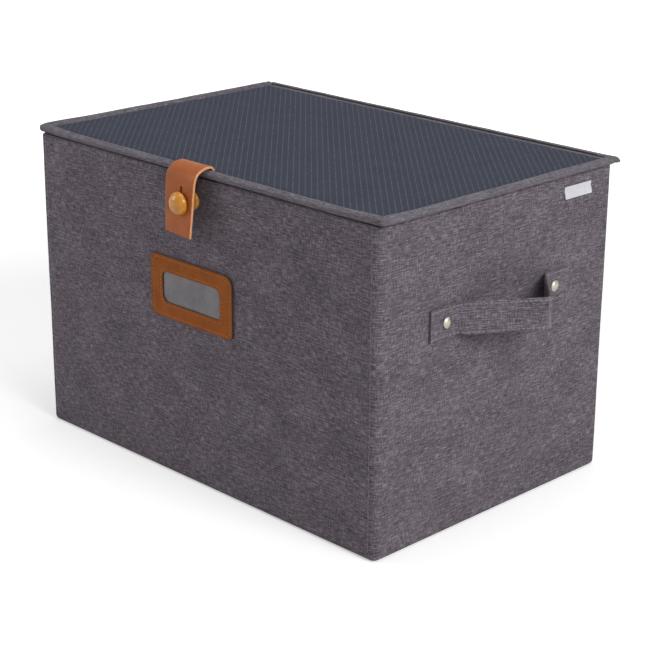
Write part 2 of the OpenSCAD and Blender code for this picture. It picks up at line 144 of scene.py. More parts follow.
def build(name, points, faces, materials, weave=None, sharp=38):
    """A mesh object in the row frame; points and weave may be arranged in rows and columns."""
    mesh = bpy.data.meshes.new(name)
    mesh.from_pydata(np.reshape(points, (-1, 3)).tolist(), [], [tuple(map(int, f)) for f in faces])
    if weave is not None:
        layer = mesh.attributes.new(WEAVE, "FLOAT_VECTOR", "POINT")
        layer.data.foreach_set("vector", np.asarray(weave, np.float32).ravel())
    for material in materials:
        mesh.materials.append(material)
    mesh.shade_smooth()
    mesh.set_sharp_from_angle(angle=math.radians(sharp))
    made = bpy.data.objects.new(name, mesh)
    bpy.context.scene.collection.objects.link(made)
    return made


def grid_normals(grid):
    """Outward normals of a grid whose columns run to the right and whose rows run up."""
    return unit(np.cross(np.gradient(grid, axis=1), np.gradient(grid, axis=0)))


def grid_faces(rows, columns, wrap_rows=False, wrap_columns=False):
    at = np.arange(rows * columns).reshape(rows, columns)
    if wrap_rows:
        at = np.vstack([at, at[:1]])
    if wrap_columns:
        at = np.hstack([at, at[:, :1]])
    return np.stack([at[:-1, :-1], at[:-1, 1:], at[1:, 1:], at[1:, :-1]], -1).reshape(-1, 4)


def sheet_faces(rows, columns):
    """The outer side of a grid, its inner side and the four edges between them."""
    at = np.arange(rows * columns).reshape(rows, columns)
    outer = grid_faces(rows, columns)
    edge = np.concatenate([at[0], at[1:, -1], at[-1, -2::-1], at[-2:0:-1, 0]])
    after = np.roll(edge, -1)
    behind = rows * columns
    rim = np.stack([after, edge, edge + behind, after + behind], -1)
    return np.vstack([outer, outer[:, ::-1] + behind, rim])


def grid_of(*coordinates):
    """Points whose coordinates are shaped to fit together: along a row, down the rows, or one for all."""
    return np.stack(np.broadcast_arrays(*coordinates), -1)


def cloth(name, grid, u, v, thickness, *materials):
    """A sheet with its outer side on the grid; u and v are its columns' and rows' places in the cloth."""
    points = np.stack([grid, grid - thickness * grid_normals(grid)])
    weave = np.broadcast_to(grid_of(u, v[:, None], 0.0), points.shape)
    return build(name, points, sheet_faces(*grid.shape[:2]), materials, weave)


def second_material(made, chosen):
    """Gives the chosen faces the piece's second material."""
    for face in made.data.polygons:
        face.material_index = int(chosen(face))


def wave_at(points, size, seed):
    """Smooth noise from about -1 to 1 at each point, whose waves are about size long."""
    offset = Vector((seed, 1.7 * seed, 2.3 * seed))
    made = [noise.noise(Vector(p) / size + offset) for p in points.reshape(-1, 3)]
    return np.array(made).reshape(points.shape[:-1])


def ripple(grid, size, height, seed):
    return grid + grid_normals(grid) * (height * wave_at(grid, size, seed))[..., None]


def tube_faces(rows, columns):
    """The faces between closed rings of points, with one more over each end."""
    end = np.arange(columns)
    return [*grid_faces(rows, columns, wrap_columns=True), end[::-1], end + (rows - 1) * columns]


def rings_object(name, rings, materials, weave=None, sharp=38):
    return build(name, rings, tube_faces(*rings.shape[:2]), materials, weave, sharp)


def lathe(name, profile, centre, axis, material, steps, sharp=38):
    """A turned form: profile is a list of (radius, height along the axis), from base to tip."""
    axis = Vector(axis)
    across = axis.orthogonal().normalized()
    beside = axis.cross(across)
    angles = np.linspace(0, 2 * math.pi, steps, endpoint=False)
    turn = np.outer(np.cos(angles), across) + np.outer(np.sin(angles), beside)
    rings = np.array([np.array(centre) + r * turn + h * np.array(axis) for r, h in profile])
    return rings_object(name, rings, [material], sharp=sharp)


def arc(centre_r, centre_h, radius_r, radius_h, start, stop, steps):
    """Points of an ellipse's arc as (r, h), with its angles in degrees."""
    angles = np.radians(np.linspace(start, stop, steps + 1))
    return [(centre_r + radius_r * math.cos(a), centre_h + radius_h * math.sin(a)) for a in angles]


def rounded_loop(width, height, radii, corner_steps, run_steps):
    """Points round a rounded rectangle, anticlockwise from its upper right corner, always as many.

    radii are those of its four corners, and run_steps are the steps of its long and its upright sides.
    """
    corners = []
    for number, radius in enumerate(radii):
        right, up = (1, -1, -1, 1)[number], (1, 1, -1, -1)[number]
        centre = right * (width / 2 - radius), up * (height / 2 - radius)
        corners.append(arc(*centre, radius, radius, 90 * number, 90 * number + 90, corner_steps))
    points = []
    for here, after, steps in zip(corners, corners[1:] + corners[:1], run_steps + run_steps):
        points += [*here, *np.linspace(here[-1], after[0], steps + 1)[1:-1]]
    return np.array(points)


# ---- What a piece belongs to ----

def belongs(made, slot, body, *nodes):
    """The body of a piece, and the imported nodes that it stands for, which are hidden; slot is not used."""
    if nodes:
        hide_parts(*nodes)
    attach(made, body)


# ---- Thread ----

def stitch_row(path, normal, length, gap):
    """Places (start, stop, normal) of even stitches along a path; normal is one for all or one per point."""
    along = lengths(path)
    count = max(1, round(along[-1] / (length + gap)))
    middle = (np.arange(count) + 0.5) * along[-1] / count
    start, stop = (at_places(middle + reach, along, path) for reach in (-length / 2, length / 2))
    return list(zip(start, stop, unit(at_places(middle, along, np.broadcast_to(normal, path.shape)))))


STITCH_SHAPE = [  # share of the length, height and thickness in thread radii
    (-0.02, -0.9, 0.55), (0.1, -0.1, 0.9), (0.3, 0.3, 1.0),
    (0.7, 0.3, 1.0), (0.9, -0.1, 0.9), (1.02, -0.9, 0.55)
]
STITCH_SIDES = 6


def stitches(name, places, material, radius):
    """One mesh of many short lengths of thread, each with its ends sunk in the cloth."""
    angles = np.linspace(0, -2 * math.pi, STITCH_SIDES, endpoint=False)[:, None]
    share, height, thick = (np.reshape(column, (-1, 1, 1)) for column in zip(*STITCH_SHAPE))
    tube = tube_faces(len(STITCH_SHAPE), STITCH_SIDES)
    points, faces = [], []
    for start, stop, normal in places:
        forward = unit(stop - start)
        beside = unit(np.cross(forward, normal))
        up = np.cross(beside, forward)
        ring = np.cos(angles) * beside + np.sin(angles) * up
        faces += [face + len(points) * len(STITCH_SHAPE) * STITCH_SIDES for face in tube]
        points.append(start + share * (stop - start) + height * radius * up + thick * radius * ring)
    return build(name, points, faces, [material], sharp=60)


# ---- Materials ----

def srgb(red, green, blue):
    """A colour written as 0 to 255, as the linear values that a shader takes."""
    def linear(c):
        return c / 12.92 if c <= 0.04045 else ((c + 0.055) / 1.055) ** 2.4
    return (*(linear(c / 255) for c in (red, green, blue)), 1.0)


def add(tree, kind, inputs=None, **settings):
    """A shader node with its settings, and its inputs linked or set."""
    made = tree.nodes.new("ShaderNode" + kind)
    for key, value in settings.items():
        setattr(made, key, value)
    for key, value in (inputs or {}).items():
        if isinstance(value, bpy.types.NodeSocket):
            tree.links.new(value, made.inputs[key])
        else:
            made.inputs[key].default_value = value
    return made


def new_material(name):
    material = bpy.data.materials.new(name)
    material.use_nodes = True
    material.node_tree.nodes.clear()
    return material, material.node_tree


def finish_material(material, inputs):
    tree = material.node_tree
    add(tree, "OutputMaterial", {"Surface": add(tree, "BsdfPrincipled", inputs).outputs["BSDF"]})
    return material


def cloth_place(tree):
    return add(tree, "Attribute", attribute_name=WEAVE).outputs["Vector"]


def object_place(tree):
    return add(tree, "TexCoord").outputs["Object"]


def streaks(tree, place, across, along, detail=2.0):
    """Noise whose flecks are about across wide and along long, in millimetres."""
    size = [1 / (length * MM) for length in (across, along, across)]
    scaled = add(tree, "VectorMath", {0: place, 1: size}, operation="MULTIPLY").outputs["Vector"]
    noise_node = add(tree, "TexNoise", {"Vector": scaled, "Scale": 1.0, "Detail": detail, "Roughness": 0.6})
    return noise_node.outputs["Fac"]


def calc(tree, operation, *values):
    return add(tree, "Math", dict(enumerate(values)), operation=operation).outputs[0]


def ranged(tree, value, from_low, from_high, to_low, to_high, **settings):
    return add(tree, "MapRange", {
        "Value": value, "From Min": from_low, "From Max": from_high, "To Min": to_low, "To Max": to_high
    }, **settings).outputs[0]


def weighted(tree, parts):
    """0.5 plus each part's difference from 0.5 times its weight."""
    total = 0.5 - sum(weight for _, weight in parts) / 2
    for socket, weight in parts:
        total = calc(tree, "MULTIPLY_ADD", socket, weight, total)
    return total


def tones(tree, value, colour, *stops):
    """The colour, darker or lighter along a value; stops are (value, factor)."""
    shades = [(place, (*(c * factor for c in colour[:3]), 1.0)) for place, factor in stops]
    made = add(tree, "ValToRGB", {"Fac": value})
    elements = made.color_ramp.elements
    elements[0].position, elements[0].color = shades[0]
    elements[1].position, elements[1].color = shades[-1]
    for place, shade in shades[1:-1]:
        elements.new(place).color = shade
    return made.outputs["Color"]


def bump(tree, height, distance, strength):
    made = add(tree, "Bump", {"Height": height, "Distance": distance * MM, "Strength": strength})
    return made.outputs["Normal"]


def streaked(name, colour, parts, stops, finish, gloss=None, relief=None, detail=2.0, place=object_place):
    """A material whose tone follows streaks: parts are (across, along, weight), in millimetres.

    gloss turns them into roughness; relief is (depth in millimetres, strength, one part or None for all).
    """
    material, tree = new_material(name)
    where = place(tree)
    made = [streaks(tree, where, across, along, detail) for across, along, _ in parts]
    value = weighted(tree, [(socket, part[2]) for socket, part in zip(made, parts)])
    inputs = {**finish, "Base Color": tones(tree, value, colour, *stops)}
    if gloss:
        inputs["Roughness"] = ranged(tree, value, *gloss)
    if relief:
        depth, strength, raised = relief
        inputs["Normal"] = bump(tree, value if raised is None else made[raised], depth, strength)
    return finish_material(material, inputs)


def melange_cloth(name, colour, contrast):
    """Woven cloth of mixed yarns: long flecks along the weft, shorter ones along the warp."""
    parts = [(6.5, 0.75, 1.5), (26, 1.3, 0.6), (0.75, 6, 1.1), (38, 30, 0.35)]
    return streaked(
        name, colour, [(across, along, weight * contrast) for across, along, weight in parts],
        [(0.12, 0.42), (0.38, 0.84), (0.56, 1.04), (0.72, 1.42), (0.9, 2.1)],
        {"Roughness": 0.92, "Specular IOR Level": 0.1, "Sheen Weight": 0.06, "Sheen Roughness": 0.6},
        relief=(0.35, 0.8, None), place=cloth_place
    )


STRIPE_PITCH = 4.65 * MM
STRIPE_W = 0.8 * MM
STRIPE_ANGLE = 44.0         # degrees from the lid's long side


def pinstripe_cloth(name, ground, stripe):
    """Dark cloth with fine light stripes aslant, each a broken row of paler yarn."""
    material, tree = new_material(name)
    place = cloth_place(tree)
    turn = math.radians(STRIPE_ANGLE)
    across = (math.sin(turn) / STRIPE_PITCH, math.cos(turn) / STRIPE_PITCH, 0.0)
    along = (math.cos(turn), -math.sin(turn), 0.0)
    count, run = (
        add(tree, "VectorMath", {0: place, 1: way}, operation="DOT_PRODUCT").outputs["Value"]
        for way in (across, along)
    )
    from_middle = calc(tree, "ABSOLUTE", calc(tree, "SUBTRACT", calc(tree, "FRACT", count), 0.5))
    half = STRIPE_W / STRIPE_PITCH / 2
    line = ranged(tree, from_middle, 0.5 * half, 1.5 * half, 1.0, 0.0, interpolation_type="SMOOTHSTEP")
    own_row = add(tree, "CombineXYZ", {"X": run, "Y": calc(tree, "FLOOR", count)}).outputs[0]
    broken = ranged(tree, streaks(tree, own_row, 5, 370), 0.32, 0.66, 0.15, 1.0)
    mask = calc(tree, "MULTIPLY", line, broken)
    slanted = add(tree, "CombineXYZ", {"X": run, "Y": count}).outputs[0]
    yarn = weighted(tree, [(streaks(tree, slanted, 3.5, 120), 1.0), (streaks(tree, place, 30, 30), 0.3)])
    base = tones(tree, yarn, ground, (0.2, 0.7), (0.5, 1), (0.85, 1.45))
    tint = add(tree, "Mix", {"Factor": mask, 6: base, 7: stripe}, data_type="RGBA").outputs[2]
    height = calc(tree, "MULTIPLY_ADD", mask, 0.5, yarn)
    return finish_material(material, {
        "Base Color": tint, "Roughness": 0.85, "Specular IOR Level": 0.06, "Sheen Weight": 0.02,
        "Sheen Roughness": 0.5, "Normal": bump(tree, height, 0.2, 0.7)
    })


def fine_cloth(name, colour, pitch):
    """Plain close-woven cloth."""
    return streaked(
        name, colour, [(2.5, pitch, 1.0), (pitch, 2.5, 1.0), (25, 25, 0.4)],
        [(0.2, 0.72), (0.5, 1), (0.85, 1.3)], {"Roughness": 0.88, "Specular IOR Level": 0.25},
        relief=(0.2, 0.7, None), place=cloth_place
    )


def leather(name, colour, roughness, gloss_level):
    """Smooth leather with slow changes of tone and a fine grain."""
    return streaked(
        name, colour, [(14, 14, 0.9), (0.9, 0.9, 0.35)], [(0.25, 0.8), (0.5, 1), (0.78, 1.18)],
        {"Specular IOR Level": gloss_level}, gloss=(0.25, 0.75, roughness + 0.08, roughness - 0.06),
        relief=(0.12, 0.5, 1), detail=3.0
    )


def cut_leather(name, colour):
    """The bare cut edge of leather, with its layers of fibre."""
    return streaked(
        name, colour, [(3, 0.35, 1.0)], [(0.3, 0.8), (0.7, 1.15)], {"Roughness": 0.8},
        relief=(0.1, 0.5, None)
    )


def satin_metal(name, colour, roughness):
    return streaked(
        name, colour, [(0.5, 3, 1.0)], [(0.3, 0.86), (0.7, 1.08)], {"Metallic": 1.0},
        gloss=(0.3, 0.7, roughness - 0.06, roughness + 0.1)
    )


def sewing_thread(name, colour):
    return streaked(
        name, colour, [(0.35, 0.35, 1.0)], [(0.3, 0.75), (0.7, 1.2)],
        {"Roughness": 0.6, "Sheen Weight": 0.1}, relief=(0.1, 0.6, None)
    )


body_cloth = melange_cloth("body_cloth", srgb(102, 94, 102), 1.25)
border_cloth = melange_cloth("border_cloth", srgb(103, 98, 105), 0.9)
# Painted shade: a darker cloth for the walls of the lid's crease, where shade falls
crease_shade_cloth = melange_cloth("crease_shade_cloth", srgb(60, 56, 61), 0.6)
# Painted highlight: a paler copy of the cloth for the handles' outer bends, where the light catches them
bend_highlight_cloth = melange_cloth("bend_highlight_cloth", srgb(120, 111, 120), 0.9)
lid_cloth = pinstripe_cloth("lid_cloth", srgb(56, 60, 72), srgb(88, 92, 103))
lining_cloth = fine_cloth("lining_cloth", srgb(86, 84, 90), 0.7)
tag_cloth = fine_cloth("tag_cloth", srgb(212, 211, 219), 0.4)
strap_leather = leather("strap_leather", srgb(160, 84, 36), 0.5, 0.22)
strap_edge = cut_leather("strap_edge", srgb(222, 160, 110))
label_leather = leather("label_leather", srgb(142, 77, 26), 0.6, 0.12)
label_edge = cut_leather("label_edge", srgb(52, 32, 27))
window_film = streaked(    # soft clear film, a little clouded
    "window_film", srgb(112, 108, 112), [(16, 5, 1.0)], [(0.35, 0.8), (0.65, 1.2)],
    {"Roughness": 0.16, "Specular IOR Level": 0.55, "Alpha": 0.8}, relief=(0.5, 0.5, None), detail=3.0
)
knob_wood = streaked(      # turned wood under a clear glossy coat
    "knob_wood", srgb(196, 128, 24), [(6, 1.1, 1.0)], [(0.3, 0.72), (0.55, 1), (0.8, 1.25)],
    {"Roughness": 0.4, "Specular IOR Level": 0.3, "Coat Weight": 0.5, "Coat Roughness": 0.12}, detail=3.0
)
rivet_metal = satin_metal("rivet_metal", srgb(178, 174, 160), 0.32)
screw_steel = satin_metal("screw_steel", srgb(170, 170, 170), 0.3)
board_fibre = streaked(
    "board_fibre", srgb(150, 138, 118), [(1.5, 1.5, 1.0)], [(0.3, 0.8), (0.7, 1.15)], {"Roughness": 0.9},
    detail=4.0
)
grey_thread = sewing_thread("grey_thread", srgb(130, 123, 132))
tan_thread = sewing_thread("tan_thread", srgb(178, 106, 46))


# ---- The body's cloth ----

def groove(distance, depth, reach):
    return depth * np.exp(-(distance / reach) ** 2)


def front_plan():
    x = spaced(-side_x + SEAM_IN, side_x - SEAM_IN, fine=(0.6 * MM, 1.2 * MM, 2 * MM))
    plan = grid_of(x, front_y)
    return plan, np.broadcast_to([0.0, -1.0], plan.shape), 0.0


def end_plan():
    """The right end's cloth goes round both corners, as far as the seams on the front and back."""
    flat_half = back_y - CORNER_R
    edge_x = side_x - SEAM_IN
    corner_x = side_x - CORNER_R
    front_corner = np.array(arc(corner_x, -flat_half, CORNER_R, CORNER_R, -90, 0, 10))
    strip = np.array([(edge_x, front_y), (edge_x + 0.5 * MM, front_y)])
    near = np.array([0.7, 1.4, 2.2, 4.0]) * MM
    y = np.concatenate([
        spaced(-flat_half, -2 * near[-1])[1:], -near[::-1], [0.0], near, spaced(2 * near[-1], flat_half)[:-1]
    ])
    mirrored = np.array([1, -1])
    plan = np.vstack([
        strip, front_corner, grid_of(side_x, y), front_corner[::-1] * mirrored, strip[::-1] * mirrored
    ])
    centre = grid_of(np.minimum(plan[:, 0], corner_x), np.clip(plan[:, 1], -flat_half, flat_half))
    fold = groove(np.where(plan[:, 0] == side_x, plan[:, 1], 1.0), FOLD_DEPTH, FOLD_REACH)
    return plan, unit(plan - centre), fold


def body_wall(side, plan_of, board, facing, own_place):
    """A wall's cloth from its plan, with grooves pressed into its outside only."""
    plan, outward, fold = plan_of()
    radius = WALL_T / 2
    upright = [(0.0, z) for z in spaced(foot_seam_z, top_z - radius)]
    rows = np.array(upright + arc(radius, top_z - radius, radius, radius, 180, 0, 12)[1:])
    along, up = lengths(plan), lengths(rows)
    pressed = fold + groove(np.minimum(along, along[-1] - along), SEAM_DEPTH, SEAM_REACH)
    inset = rows[:, :1] + np.where(rows[:, :1] == 0, pressed, 0)
    flat = (plan - inset[..., None] * outward) * facing
    grid = grid_of(flat[..., 0], flat[..., 1], rows[:, 1:])
    grid = ripple(grid, 70 * MM, 0.35 * MM, seed=3.0)
    grid = ripple(grid, 17 * MM, 0.1 * MM, seed=8.0)
    wall = cloth(f"{side}_wall_cloth", grid, along + own_place, up, CLOTH_T, body_cloth)
    belongs(wall, "body_cloth", "box", f"{side}_cover")


def corner_stitches():
    """Topstitching in the four upright seams of the front and back."""
    places = []
    z = spaced(foot_seam_z + 3 * MM, top_z - 4 * MM)
    sunk = SEAM_DEPTH - 0.3 * THREAD_R
    for sign_x in (-1, 1):
        for sign_y in (-1, 1):
            path = grid_of(sign_x * (side_x - SEAM_IN), sign_y * (back_y - sunk), z)
            path[:, 1] += sign_y * 0.35 * MM * wave_at(path, 70 * MM, 3.0)
            places += stitch_row(path, (0, sign_y, 0), 3.4 * MM, 1.0 * MM)
    belongs(stitches("corner_stitches", places, grey_thread, THREAD_R), "body_cloth", "box")


def bottom_cloth():
    """The bottom's cloth, turned up round the foot to the walls' lower edges."""
    outer, inner = (
        [(2 * FOOT_R, thickness)]
        + arc(FOOT_R, FOOT_R, FOOT_R - thickness, FOOT_R - thickness, 270, 180, 8)
        for thickness in (0.0, CLOTH_T)
    )
    rings = []
    for inset, height in outer + inner[::-1]:
        radius = max(CORNER_R - inset, 0.5 * MM)
        loop = rounded_loop(2 * (side_x - inset), 2 * (back_y - inset), [radius] * 4, 8, (40, 40))
        rings.append(grid_of(*loop.T, foot_z + height))
    rings = np.array(rings)
    weave = grid_of(rings[..., 0], rings[..., 1] + rings[..., 2], 0.0)
    made = rings_object("bottom_cloth", rings, [body_cloth], weave)
    belongs(made, "body_cloth", "box", "bottom_cover")


# ---- The lining and the loose base board's cloth ----

def lining_wall(side, facing, own_place):
    """A wall's flat lining panel."""
    node = f"{side}_lining"
    long_side = side in ("front", "back")
    low_z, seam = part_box(node)[0].z, top_z - WALL_T / 2
    face = WALL_T + 0.15 * MM
    reach = (side_x if long_side else back_y) - WALL_T
    a = spaced(-reach, reach, step=8 * MM)
    z = spaced(low_z, seam, step=8 * MM, fine=(1 * MM,))
    x, y = (-a, front_y + face) if long_side else (side_x - face, -a)
    grid = ripple(grid_of(facing * x, facing * y, z[:, None]), 55 * MM, 0.12 * MM, seed=5.0)
    made = cloth(f"{node}_cloth", grid, a + own_place, z, LINING_T, lining_cloth)
    belongs(made, "lining_cloth", "box", node)


def pad_grid(low, high, top, radius, skirt, step):
    """A flat top whose four edges bend down by an arc of radius and go on down by skirt."""
    def edge_rows(low, high):
        bend = np.radians(np.linspace(90, 0, 6))
        place = np.array([low, *(low + radius * (1 - np.sin(bend)))])
        drop = np.array([radius + skirt, *(radius * (1 - np.cos(bend)))])
        inner = spaced(low + radius, high - radius, step)[1:-1]
        places = np.concatenate([place, inner, low + high - place[::-1]])
        return places, np.concatenate([drop, np.zeros(len(inner)), drop[::-1]])
    x, drop_x = edge_rows(low[0], high[0])
    y, drop_y = edge_rows(low[1], high[1])
    return grid_of(x, y[:, None], top - np.maximum(drop_x, drop_y[:, None])), x, y


def base_board_cloth():
    low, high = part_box("base_cloth")
    grid, x, y = pad_grid(low, high, high.z, 1.4 * MM, high.z - low.z - 2 * MM, 10 * MM)
    grid = ripple(grid, 60 * MM, 0.15 * MM, seed=2.0)
    made = cloth("base_board_cloth", grid, x, y + 12, 0.7 * MM, lining_cloth)
    belongs(made, "lining_cloth", "box", "base_cloth")


# ---- Lid ----

def askew(points, share=1.0):
    """Moves the lid's cloth to where the soft lid sits, with its right back corner drawn out to a tip."""
    from_tip = np.hypot(points[..., 0] - lid_high.x, points[..., 1] - hinge_high.y)
    right = LID_ASKEW + LEFT_IN * (lid_high.x - points[..., 0]) / (lid_high.x - lid_low.x)
    drawn = groove(from_tip, TIP_OUT, TIP_REACH)
    return points + grid_of(right + drawn, 0.8 * drawn, 0.0) * np.asarray(share)[..., None]


def border_ring():
    """The border's section, from the bottom's inner edge round the padded nose: (inward, height)."""
    nose, width, height = BORDER_NOSE_R, BORDER_W, lid_high.z - lid_low.z
    foot = 0.4 * MM
    bottom = [(width - 0.3 * MM, foot), (0.6 * width, foot), (nose, foot)]
    round_low = arc(nose, nose + foot, nose, nose, -90, -180, 5)[1:]
    round_high = arc(nose, height - nose, nose, nose, 180, 105, 5)
    run = np.linspace(0, 1, 9)[1:]
    rise = BORDER_PUFF * np.sin(math.pi * np.minimum(run + 0.12, 1) ** 0.8)
    roll = list(zip(nose + (width - nose) * run, height + rise - 1.2 * MM * run ** 4))
    inner = [(width, 0.45 * height)]
    return np.array(bottom + round_low + round_high + roll + inner)


def run_shares(length, fine_start=True):
    """Places along a border's run as shares of it, closer together at its mitred ends."""
    fine = np.array([0.0, 0.6, 1.2, 2.0, 3.2, 4.4, 5.6, 6.8, 8.0, 9.2]) * MM
    even = spaced(0, length, 5 * MM)
    inside = even[(even > fine[-1] + MM) & (even < length - fine[-1] - MM)]
    return np.concatenate([fine if fine_start else fine[:1], inside, length - fine[::-1]]) / length


def rounded_off(points):
    """Brings the points beyond each front corner's centre in from a square to a round corner."""
    beyond_x = np.abs(points[..., 0]) - (lid_high.x - lid_low.x) / 2 + CORNER_ROUND
    beyond = np.maximum(grid_of(beyond_x, lid_low.y + CORNER_ROUND - points[..., 1]), 0)
    shrink = beyond.max(-1) / np.maximum(np.linalg.norm(beyond, axis=-1), 1e-9) - 1
    return points + grid_of(
        np.sign(points[..., 0]) * beyond[..., 0] * shrink, -beyond[..., 1] * shrink, 0.0
    )


def lid_border():
    """The padded border on the lid's two ends and its front, in one mitred run."""
    ring = border_ring()
    inward, height = ring[:, 0], ring[:, 1]
    left, right, front, back = lid_low.x, lid_high.x, lid_low.y, lid_high.y
    corners = [
        grid_of(x + right_in * inward, y + back_in * inward) for x, y, right_in, back_in in
        ((left, back, 1, 0), (left, front, 1, 1), (right, front, -1, 1), (right, back, -1, 0))
    ]
    side_share = run_shares(back - front, fine_start=False)
    runs = ((side_share, 1), (run_shares(right - left), 0), (1 - side_share[::-1], 1))
    rings, weave = [], []
    for first, last, (share, weft) in zip(corners, corners[1:], runs):
        flat = (first + share[:, None, None] * (last - first))[1 if rings else 0:]
        rings.append(grid_of(flat[..., 0], flat[..., 1], lid_low.z + height))
        weave.append(grid_of(flat[..., weft] + 2 * weft, lengths(ring) + 0.5, 0.0))
    rings, weave = np.concatenate(rings), np.concatenate(weave)

    # A crease along each mitre, and front corners that stand up a little
    upper = height > 0.5 * height.max()
    across_left = np.clip((rings[..., 0] - left) / BORDER_W, 0, 1)
    behind_corner = np.clip((rings[..., 1] - front) / (25 * MM) - 0.3, 0, 1)
    rings[..., 2] += np.where(upper, LEFT_PUFF * np.sin(math.pi * across_left) * behind_corner, 0)
    from_end = np.minimum(rings[..., 0] - left, right - rings[..., 0])
    from_front = rings[..., 1] - front
    mitre = groove(np.abs(from_end - from_front) / math.sqrt(2), MITRE_DEPTH, MITRE_REACH)
    pressed = np.where(inward > MM, mitre, 0)
    lift = groove(np.hypot(from_end, from_front), CORNER_LIFT, CORNER_LIFT_REACH) * np.where(upper, 1, 0.4)
    wavy = 0.22 * MM * wave_at(rings, 14 * MM, 4.0) + 0.25 * MM * wave_at(rings, 45 * MM, 6.0)
    rings[..., 2] += lift + np.where(upper, wavy - pressed, 0)

    rings = askew(rounded_off(rings))[:, ::-1]
    made = rings_object("lid_border_cloth", rings, [border_cloth], weave[:, ::-1])
    belongs(made, "body_cloth", "lid", "lid_border")


def back_border():
    """The border's narrow back run, which rolls down into the crease."""
    front, back, top = panel_high.y, lid_high.y - 0.9 * MM, panel_high.z + 0.35 * MM
    roll = 1.1 * MM
    path = [(front - 0.2 * MM, panel_high.z - 0.4 * MM), (front, top - 0.4 * MM), (front + 0.5 * MM, top)]
    path += [(y, top) for y in spaced(front + 1.3 * MM, back - roll - 0.4 * MM, MM)]
    path += arc(back - roll, top - roll, roll, roll, 90, 5, 5)
    path += [(back + 0.1 * MM, top - 0.8 * CREASE_DEPTH), (back + 1.4 * MM, top - CREASE_DEPTH)]
    path = np.array(path)
    reach = lid_high.x - BORDER_W + 0.8 * MM
    x = spaced(-reach, reach)
    grid = ripple(grid_of(x, path[:, :1], path[:, 1:]), 16 * MM, 0.2 * MM, seed=11.0)
    place = 40 + lengths(path)
    made = cloth("lid_back_border_cloth", askew(grid), x, place, 0.6 * MM, border_cloth, crease_shade_cloth)
    # The faces that roll down into the crease get the darker cloth: painted shade in the crease
    second_material(made, lambda face: face.center.y > back - 0.5 * MM and face.center.z < top - 0.5 * MM)
    belongs(made, "body_cloth", "lid", "lid_border")


def lid_panel_cloth():
    """The pinstriped cloth: it dips into the seams at the border and at the crease."""
    low = np.array(panel_low.xy) - 0.2 * MM
    high = np.array(panel_high.xy) + np.array([0.2, 0.6]) * MM
    grid, x, y = pad_grid(low, high, panel_high.z, 1.1 * MM, 0.2 * MM, 7 * MM)
    share = (grid[..., :2] - low) / (high - low)
    crown = np.clip((np.minimum(share, 1 - share) * np.array([12, 8])).min(-1), 0, 1)
    grid[..., 2] += PANEL_PUFF * crown * (2 - crown)
    grid = ripple(grid, 80 * MM, 0.25 * MM, seed=9.0)
    made = cloth("lid_panel_cloth", askew(grid), x, y, 0.7 * MM, lid_cloth)
    belongs(made, "lid_cloth", "lid", "lid_panel")


def lid_lining_cloth():
    """The lid's lining, seen when the lid is open."""
    low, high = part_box("lid_lining")
    x = spaced(high.x + MM, low.x - MM, 8 * MM)
    y = spaced(low.y - MM, high.y, 8 * MM)
    grid = ripple(grid_of(x, y[:, None], low.z), 60 * MM, 0.15 * MM, seed=7.0)
    made = cloth("lid_lining_cloth", askew(grid), x, y + 20, 0.6 * MM, lining_cloth)
    belongs(made, "lining_cloth", "lid", "lid_lining")


END_ROUND, END_DROP = 3 * MM, 4 * MM     # how the hinge strip's ends are folded down


def hinge_strip():
    """The cloth hinge: from the sewn crease over the back edge and down the wall, with closed ends."""
    top, out = hinge_high.z + HINGE_PUFF, hinge_high.y
    bend = 2.9 * MM
    start = lid_high.y + 0.3 * MM
    over = arc(out - bend, top - bend, bend, bend, 90, 0, 7)
    down = [(out, z) for z in spaced(top - bend - MM, hinge_low.z, 1.6 * MM)]
    sunk = [(-0.2, -2.5), (0.7, -2.6), (1.0, -1.9), (1.1, -0.9), (1.6, -0.15), (2.6, 0.0)]
    flat = [(-0.1, -0.9), (0.0, -0.4), (0.4, -0.1), (1.0, 0.0), (2.0, 0.0), (3.4, 0.0)]
    reach = hinge_high.x
    near_end = np.array([0.15, 0.5, 1.1, 2.0, 3.2, 4.8, 6.4]) * MM
    x = spaced(-reach, reach, 0.012 * reach, fine=tuple(near_end))
    inner = reach - BORDER_W
    creased = np.clip((inner - np.abs(x)) / (3 * MM), 0, 1)[:, None, None]
    edge = np.array([start, top]) + MM * (creased * np.array(sunk) + (1 - creased) * np.array(flat))
    path = np.concatenate([edge, np.tile(over + down, (len(x), 1, 1))], axis=1).transpose(1, 0, 2)
    along = lengths(path[:, len(x) // 2])
    closed = 1 - np.sqrt(1 - np.clip(1 - (reach - np.abs(x)) / END_ROUND, 0, 1) ** 2)
    path[..., 1] += closed * (np.minimum(path[..., 1], top - END_DROP) - path[..., 1])

    # The flap on the wall is narrower than the strip on top, and only the top is shifted with the soft lid's
    # askew
    fall = np.clip((top - 4.5 * MM - path[..., 1]) / (3.5 * MM), 0, 1)
    fall = fall * fall * (3 - 2 * fall)
    narrowed = 1 + ((side_x - CORNER_R - MM) / reach - 1) * fall
    grid = askew(np.dstack([-x * narrowed, path]), 1 - fall)[::-1]
    wavy = 0.2 * MM * wave_at(grid, 22 * MM, 5.0) * np.where(grid[..., 2] > top - 2 * bend, 1, 0.3)
    grid = grid + grid_normals(grid) * wavy[..., None]
    made = cloth("hinge_strip", grid, x, 30 - along[::-1], 0.9 * MM, border_cloth, crease_shade_cloth)
    # The crease's front wall gets the darker cloth: painted shade in the crease
    second_material(made, lambda face: (
        face.center.y < start + 1.5 * MM and abs(face.center.x) < inner and face.center.z < top - 0.2 * MM
    ))
    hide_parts("hinge_cloth")
    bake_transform(made)


# ---- Strap and knob ----

